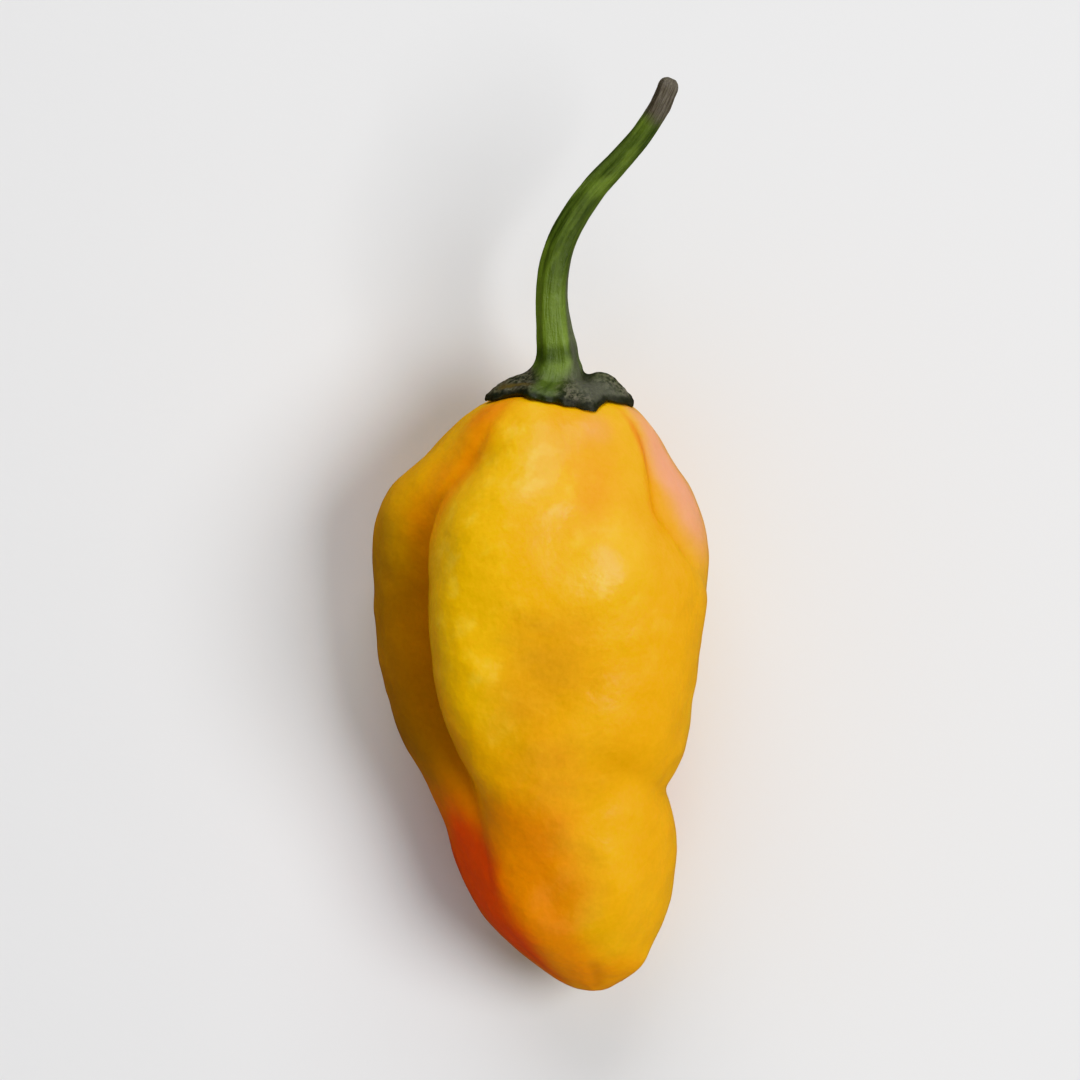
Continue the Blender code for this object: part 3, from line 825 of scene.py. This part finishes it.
def build_pod(settings):
    """The fruit: lobes, furrows, swellings, the folded waist, fine creases and the blossom end's scar."""
    piece, column, step = new_ball("pepper_pod", LOBE_COLUMNS * len(FURROWS), POD_RINGS)
    stations = outline_stations()
    down = curve_through(stations[:, [0, 1]], step)
    girth = curve_through(stations[:, [0, 2]], step)
    turn = column_turn(column, down)
    points = laid(pod_skin(turn, step, fine=True))
    points[:, 2] = np.maximum(points[:, 2], 0)
    for name, patches in PATCHES.items():
        mask = np.zeros_like(down)
        for *where, strength in patches:
            mask = 1 - (1 - mask) * (1 - strength * spot(turn, down, *where))
        add_field(piece, name, mask)
    # Painted shade in the furrows: darker where they are deeper, between these distances down
    deepest = np.clip(furrow_share(turn, down) / DEEPEST_FURROW, 0, 1)
    dark = smooth_step(down, *FURROW_SHADE_FROM) * (1 - smooth_step(down, *FURROW_SHADE_TO))
    add_field(piece, "furrow_shade_mask", deepest * dark)
    # Painted shade in the creases, darker where they are deeper
    add_field(piece, "crease_shade_mask", creases(turn, down, girth) * CREASE_SHADE)
    add_field(piece, "blossom_scar", (1 - smooth_step(girth, *SCAR_EDGE)) * (step > 0.5))
    place_points(piece, points)
    rough_up(piece, "wide_lumps", WIDE_LUMPS, settings.lump_height)
    rough_up(piece, "narrow_lumps", NARROW_LUMPS, settings.lump_height * NARROW_LUMP_SHARE)
    rest_on_floor(piece)
    piece.data.materials.append(skin_material(settings))
    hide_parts("pod")
    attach(piece, "root")


def calyx_teeth(turn):
    """For each turn: how far the rim reaches along the skin, and the tooth's hump and lift there."""
    reach, hump, lift = CALYX_RIM, 0, 0
    for angle, length, tooth_hump, tooth_lift in CALYX_TEETH:
        tooth = strip(turn, angle, TOOTH_WIDTH)
        reach = reach + length * tooth
        hump = hump + tooth_hump * tooth
        lift = lift + tooth_lift * tooth
    return reach, hump, lift


def ragged_reach(turn):
    """How far the rim reaches along the skin, with the small waves and nicks of its dried edge."""
    reach = calyx_teeth(turn)[0]
    for count, phase, swing in RIM_WAVES:
        reach = reach + swing * np.sin(np.radians(turn * count + phase))
    return reach


def calyx_surface(turn, out, upper):
    """Points of the calyx's upper or lower face, where out runs from 0 at its middle to 1 at its rim."""
    _, hump, lift = calyx_teeth(turn)
    reach = ragged_reach(turn)
    thickness = CALYX_THICKNESS * np.sqrt(np.clip(1 - out**RIM_FULLNESS, 0, 1))
    rise = CALYX_RISE * bell(out * reach, 0, CALYX_RISE_REACH)
    arch = hump * bell(out, HUMP_PLACE, HUMP_REACH) + lift * out**LIFT_LATENESS
    height = CALYX_GAP + arch + (thickness + rise if upper else 0)
    step = out * reach / walked(POD_OUTLINE)[-1]
    return pod_skin(turn, step) + skin_normal(turn, step) * height[:, None]


def stem_frames():
    """Places along the stem from its root, with its radius there and two directions across it."""
    route = np.array(STEM_ROUTE)
    lengths = walked(route[:, :3])
    at = np.linspace(0, lengths[-1], STEM_STATIONS)
    swept = smooth_read(lengths, route, at)
    onward = np.gradient(swept[:, :3], axis=0)
    onward /= np.linalg.norm(onward, axis=1, keepdims=True)
    across = [np.array((1.0, 0.0, 0.0))]
    for direction in onward[1:]:
        kept = across[-1] - direction * (across[-1] @ direction)
        across.append(kept / np.linalg.norm(kept))
    across = np.array(across)
    return at, swept[:, :3], swept[:, 3], onward, across, np.cross(across, onward)


def stem_profile(turn):
    """Rows of points from the stem's cut end to the calyx seat, and four marks for each row.

    The marks are the row's distance along, and how far it belongs to the calyx, its rim and its underside.
    """
    around = np.radians(turn)
    at, middle, radius, onward, across, other = stem_frames()
    end = middle[-1] + onward[-1] * STEM_END_GAP
    rows, marks = [], []

    def add(points, length, cap=0.0, rim=0.0, under=0.0):
        rows.append(points)
        marks.append((length, cap, rim, under))

    def ring(centre, size, index):
        spokes = np.outer(np.cos(around), across[index]) + np.outer(np.sin(around), other[index])
        return centre + spokes * size

    def end_size(back):
        return radius[-1] * math.sqrt(1 - (1 - min(back / END_ROUNDING, 1)) ** 2)

    for back in END_ROWS:
        pit = END_PIT * (1 - end_size(back) / end_size(END_ROWS[-1])) ** 2
        add(ring(end - onward[-1] * (back + pit), end_size(back), -1), at[-1] + STEM_END_GAP - back)
    lowest = np.searchsorted(middle[:, 1], FLARE_START)
    for index in np.linspace(len(at) - 1, lowest, STEM_ROWS).astype(int):
        rounded = end_size(at[-1] + STEM_END_GAP - at[index]) / radius[-1]
        add(ring(middle[index], radius[index] * min(rounded, 1), index), at[index])
    start = FLARE_END / ragged_reach(turn)
    for share in np.linspace(0, 1, CALYX_ROWS):
        length = at[lowest] - np.interp(share, (0, 1), CALYX_ALONG)
        add(calyx_surface(turn, start + (1 - start) * share, True), length, share, share)
    for share in np.linspace(UNDERSIDE_START, 0, UNDERSIDE_ROWS):
        add(calyx_surface(turn, np.full_like(turn, share), False), length, 1, share, 1)
    return np.array(rows), np.array(marks).T


def noise_at(points, scale, octaves=3):
    """Soft noise, about -1 to 1, at each of the points."""
    flat = (points * scale).reshape(-1, 3)
    values = [noise.fractal(Vector(point), 0.8, 2.1, octaves) for point in flat]
    return np.array(values).reshape(points.shape[:-1])


def stem_relief(turn, along, cap, under, points, settings):
    """Height of the ribs, fibres and wrinkles on the stem and calyx, in millimetres."""
    twisted = turn + STEM_TWIST * np.maximum(along - FLARE_START, 0)
    ribs = sum(strip(twisted, tooth[0], RIB_WIDTH) for tooth in CALYX_TEETH) - RIB_VALLEY
    rib_height = settings.rib_height / MM * (1 + RIB_GAIN * bell(along, *RIB_GAIN_PLACE))
    around = np.radians(twisted)
    place = [np.cos(around) * FIBRE_RADIUS, np.sin(around) * FIBRE_RADIUS, along * FIBRE_STRETCH]
    place = np.stack(place, axis=-1)
    fibres = noise_at(place, FIBRE_GRAIN)
    wrinkles = smooth_step(along, DRY_FROM, DRY_FROM + WRINKLED_AFTER)
    wrinkles = wrinkles * noise_at(place * (1, 1, WRINKLE_STRETCH), WRINKLE_GRAIN)
    on_calyx = BUMP_HEIGHT * noise_at(points, BUMP_GRAIN) + PIT_HEIGHT * noise_at(points, PIT_GRAIN, 2)
    height = ribs * rib_height + FIBRE_HEIGHT * fibres + WRINKLE_HEIGHT * wrinkles
    return (height + cap * (on_calyx + CALYX_FIBRE_HEIGHT * fibres)) * (1 - under)


def build_stem(settings):
    """The ribbed stem and the toothed calyx that it spreads into, one skin from cut end to seat."""
    piece, column, share = new_ball("pepper_stem_and_calyx", STEM_COLUMNS, STEM_RINGS)
    turn = np.arange(STEM_COLUMNS) * 360 / STEM_COLUMNS
    rows, marks = stem_profile(turn)
    steps = np.linalg.norm(np.diff(rows, axis=0), axis=2).mean(axis=1)
    places = np.concatenate([[0], np.cumsum(steps)])
    at = np.linspace(0, places[-1], STEM_RINGS + 1)
    grid = smooth_read(places, rows, at)
    whole = np.zeros((len(at), STEM_COLUMNS))
    along, cap, rim, under = (np.interp(at, places, mark)[:, None] + whole for mark in marks)
    turns = whole + turn
    across = np.roll(grid, -1, axis=1) - np.roll(grid, 1, axis=1)
    normal = np.cross(across, np.gradient(grid, axis=0))
    normal /= np.maximum(np.linalg.norm(normal, axis=-1, keepdims=True), 1e-9)
    spokes = grid - grid.mean(axis=1, keepdims=True)
    outward = (spokes * normal).sum(axis=-1)[STEM_RINGS // 3].mean()
    full = np.minimum(np.linalg.norm(spokes, axis=-1).mean(axis=1) / FULL_RING, 1)[:, None]

    clefts = [strip(turns, *CLEFT_SIDE) * bell(along, place, reach) for place, reach, _ in CLEFTS]
    height = stem_relief(turns, along, cap, under, grid, settings)
    for cleft, (_, _, depth) in zip(clefts, CLEFTS):
        height = height - depth * cleft
    grain = CUT_HEIGHT * noise_at(grid, CUT_GRAIN) * (1 - under)
    height = height * full**3 + grain * (1 - full**3)
    height[0] = height[1].mean()
    height[-1] = 0
    grid = grid + normal * math.copysign(1, outward) * height[..., None]
    grid[0] = grid[1].mean(axis=0)
    grid[-1] = grid[-2].mean(axis=0)
    ring = np.round(share * STEM_RINGS).astype(int)
    column = column.astype(int)
    place_points(piece, laid(grid[ring, column]))

    around = np.radians(turns + STEM_TWIST * along)
    round_stem = STREAK_RADIUS * full
    streaks = np.stack([np.cos(around) * round_stem, np.sin(around) * round_stem, along], axis=-1)
    add_place_field(piece, "stem_place", streaks[ring, column])
    foot = 1 - smooth_step(along, *DRY_FOOT)
    dried = DRY_FOOT_SHARE * foot + DRY_TOP_SHARE * cap + strip(turns, *DARK_LOBE) * foot
    root = bell(along, 0, ROOT_REACH)
    grey_width = GREY_SIDE_WIDTH * (GREY_SIDE_LEAST + (1 - GREY_SIDE_LEAST) * root)
    grey = strip(turns, GREY_SIDE_TURN * root, grey_width)
    husk = strip(turns, *HUSK_SIDE) * bell(rim, *HUSK_PLACE)
    fields = {
        "calyx_mask": np.clip(dried, 0, 1) * (1 - TONGUE_GREEN * strip(turns, *TONGUE)),
        # Painted shade: the cleft between the stem and the lobe beside it is darkened
        "cleft": clefts[0],
        "rim_mask": smooth_step(np.maximum(rim, under), *DARK_RIM),
        "grey_side": grey * (1 - smooth_step(along, *GREY_SIDE_END)),
        "husk": husk * (1 - under),
        "root_share": bell(along, *FRESH_STRETCH),
        "root_shade": ROOT_RING_SHADE * bell(along, *ROOT_RING),
        "dry_end": smooth_step(along, DRY_FROM, DRY_FROM + BROWN_AFTER),
    }
    for name, values in fields.items():
        add_field(piece, name, values[ring, column])
    piece.data.materials.append(stem_material(settings))
    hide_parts("stem_and_calyx")
    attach(piece, "root")


def add_light(name, place, size, power):
    """A soft round white light that faces the pepper."""
    deselect_all()
    bpy.ops.object.light_add(type="AREA", location=place)
    light = bpy.context.object
    light.name = light.data.name = name
    light.data.shape = "DISK"
    light.data.size = size
    light.data.energy = power
    light.rotation_euler = (-Vector(place)).to_track_quat("-Z", "Y").to_euler()


def build_stage(settings):
    """The pale surface, the soft lights and the camera that looks straight down."""
    deselect_all()
    bpy.ops.mesh.primitive_plane_add(size=settings.floor_size, location=(0, 0, 0))
    floor = bpy.context.object
    floor.name = floor.data.name = "pale_surface"
    floor.data.materials.append(floor_material(settings))
    for name, place, size, share in LIGHTS:
        add_light(name, place, size, settings.light_power * share)

    world = bpy.data.worlds.new("soft_room")
    bpy.context.scene.world = world
    world.use_nodes = True
    tree = world.node_tree
    reflected = add_node(tree, "ShaderNodeLightPath").outputs["Is Glossy Ray"]
    dimmed = settings.room_light * REFLECTED_ROOM
    set_inputs(tree, tree.nodes["Background"], {
        "Color": (*settings.room_colour, 1),
        "Strength": remapped(tree, reflected, 0, 1, settings.room_light, dimmed),
    })

    low, high = CAD_BOX
    middle = (low + high) / 2
    away = settings.view_height * settings.lens / SENSOR
    deselect_all()
    bpy.ops.object.camera_add(location=(middle.x, middle.y, middle.z + away), rotation=(0, 0, 0))
    camera = bpy.context.object
    camera.name = camera.data.name = "camera_above"
    camera.data.sensor_width = SENSOR / MM
    camera.data.lens = settings.lens / MM
    camera.data.clip_start = NEAREST_SEEN
    bpy.context.scene.camera = camera
    bpy.context.scene.view_settings.view_transform = "Khronos PBR Neutral"


COLOUR = partial(bpy.props.FloatVectorProperty, subtype="COLOR")


class PodSettings(bpy.types.PropertyGroup):
    """The pod's colours and relief."""

    yellow: COLOUR(name="Yellow", description="Ripe skin in full light", default=(0.87, 0.49, 0.008))
    amber: COLOUR(name="Amber", description="Ripe skin", default=(0.80, 0.385, 0.003))
    # A deeper amber, laid mostly in the dents as painted shade
    deep_amber_dent_shade: COLOUR(
        name="Deep amber", description="Ripe skin in the dents", default=(0.72, 0.325, 0.002)
    )
    orange: COLOUR(name="Orange", description="Blush of riper skin", default=(0.80, 0.250, 0.003))
    red: COLOUR(name="Red", description="Ripest skin, on the flank", default=(0.82, 0.070, 0.002))
    # Colour of the painted reflection, a pale pink sheen laid on the shoulder
    pink_sheen: COLOUR(name="Pink", description="Paler blush on the shoulder", default=(0.86, 0.385, 0.21))
    # Colour of the painted shade on the pod's left side, beside the furrow
    lobe_shade: COLOUR(
        name="Olive", description="Less ripe skin beside the furrow", default=(0.325, 0.125, 0.003)
    )
    # Colour of the pale flecks of painted highlight in the sunlit patches
    flecks: COLOUR(name="Flecks", description="Pale flecks in the yellow skin", default=(0.94, 0.70, 0.12))
    fleck_strength: bpy.props.FloatProperty(
        name="Fleck strength", description="How clearly the flecks show", default=0.4, min=0, max=1,
        subtype="FACTOR",
    )
    # Colour of the painted shade in the furrows and the fine creases
    furrow: COLOUR(name="Furrow", description="Skin deep in the furrows", default=(0.46, 0.15, 0.003))
    scar: COLOUR(name="Scar", description="The dry spot at the blossom end", default=(0.30, 0.15, 0.04))
    furrow_shade: bpy.props.FloatProperty(
        name="Furrow shade", description="How far the furrows darken", default=0.5, min=0, max=1,
        subtype="FACTOR",
    )
    lump_height: bpy.props.FloatProperty(
        name="Lump height", description="Height of the soft lumps in the skin", default=0.00022, min=0,
        max=0.001, precision=5, unit="LENGTH",
    )


class StemSettings(bpy.types.PropertyGroup):
    """The colours and relief of the stem and the calyx."""

    green: COLOUR(name="Green", description="Fresh stem", default=(0.086, 0.126, 0.028))
    pale_green: COLOUR(
        name="Pale green", description="Paler bands of the stem", default=(0.190, 0.275, 0.050)
    )
    dark_green: COLOUR(
        name="Dark green", description="Streaks along the stem", default=(0.024, 0.040, 0.011)
    )
    # Also the colour of the painted shade in the cleft beside the stem
    black_green: COLOUR(
        name="Black green", description="Dried tissue of the calyx", default=(0.014, 0.016, 0.010)
    )
    grey_green: COLOUR(
        name="Grey green", description="Paler spots of the calyx", default=(0.140, 0.136, 0.086)
    )
    grey_side: COLOUR(
        name="Grey side", description="Greyer side of the stem", default=(0.105, 0.108, 0.078)
    )
    husk: COLOUR(
        name="Husk", description="Straw-brown skin on one lobe of the calyx", default=(0.105, 0.076, 0.022)
    )
    brown: COLOUR(name="Brown", description="Rusty spots and the dry end", default=(0.170, 0.148, 0.112))
    dark_brown: COLOUR(
        name="Dark brown", description="Streaks of the dry end", default=(0.078, 0.068, 0.052)
    )
    rib_height: bpy.props.FloatProperty(
        name="Rib height", description="Height of the ribs along the stem", default=0.00010, min=0,
        max=0.0005, precision=5, unit="LENGTH",
    )


class StageSettings(bpy.types.PropertyGroup):
    """The surface, the light and the camera."""

    floor_size: bpy.props.FloatProperty(
        name="Floor size", description="Width of the pale surface", default=6.0, min=0.5, unit="LENGTH"
    )
    floor_colour: COLOUR(
        name="Floor colour", description="Colour of the surface", default=(0.77, 0.77, 0.775)
    )
    room_colour: COLOUR(
        name="Room colour", description="Colour of the light all round", default=(1.0, 1.0, 1.0)
    )
    room_light: bpy.props.FloatProperty(
        name="Room light", description="Strength of the light all round", default=0.17, min=0
    )
    light_power: bpy.props.FloatProperty(
        name="Light power", description="Power of the main light", default=4.75, min=0, unit="POWER"
    )
    lens: bpy.props.FloatProperty(
        name="Lens", description="Focal length of the camera", default=0.15, min=0.01, precision=3,
        unit="LENGTH",
    )
    view_height: bpy.props.FloatProperty(
        name="View height", description="Length that fills the picture's height", default=0.094, min=0.01,
        precision=3, unit="LENGTH",
    )


class HABANERO_OT_pod(bpy.types.Operator):
    """Builds the pod, with its skin"""

    bl_idname = "habanero.pod"
    bl_label = "Pod"

    def execute(self, context):
        build_pod(context.scene.habanero_pod)
        return {"FINISHED"}


class HABANERO_OT_stem(bpy.types.Operator):
    """Builds the stem and the calyx that it spreads into"""

    bl_idname = "habanero.stem_and_calyx"
    bl_label = "Stem and calyx"

    def execute(self, context):
        build_stem(context.scene.habanero_stem)
        return {"FINISHED"}


class HABANERO_OT_stage(bpy.types.Operator):
    """Sets up the pale surface, the soft lights and the camera"""

    bl_idname = "habanero.stage"
    bl_label = "Stage"

    def execute(self, context):
        build_stage(context.scene.habanero_stage)
        return {"FINISHED"}


OPERATORS = (HABANERO_OT_pod, HABANERO_OT_stem, HABANERO_OT_stage)


class HABANERO_PT_pepper(bpy.types.Panel):
    """Lists the pieces of the pepper and their settings"""

    bl_idname = "HABANERO_PT_pepper"
    bl_label = "Habanero pepper"
    bl_space_type = "VIEW_3D"
    bl_region_type = "UI"
    bl_category = "Habanero"

    def draw(self, context):
        scene = context.scene
        groups = (scene.habanero_pod, scene.habanero_stem, scene.habanero_stage)
        for operator, settings in zip(OPERATORS, groups):
            box = self.layout.box()
            box.operator(operator.bl_idname)
            for name in settings.__annotations__:
                box.prop(settings, name)


GROUPS = {"habanero_pod": PodSettings, "habanero_stem": StemSettings, "habanero_stage": StageSettings}
CLASSES = (*GROUPS.values(), *OPERATORS, HABANERO_PT_pepper)


def register():
    for added in CLASSES:
        bpy.utils.register_class(added)
    for name, group in GROUPS.items():
        setattr(bpy.types.Scene, name, bpy.props.PointerProperty(type=group))


def unregister():
    for name in GROUPS:
        delattr(bpy.types.Scene, name)
    for added in reversed(CLASSES):
        bpy.utils.unregister_class(added)


def main():
    register()
    bpy.ops.habanero.pod()
    bpy.ops.habanero.stem_and_calyx()
    bpy.ops.habanero.stage()


if __name__ == "__main__":
    main()
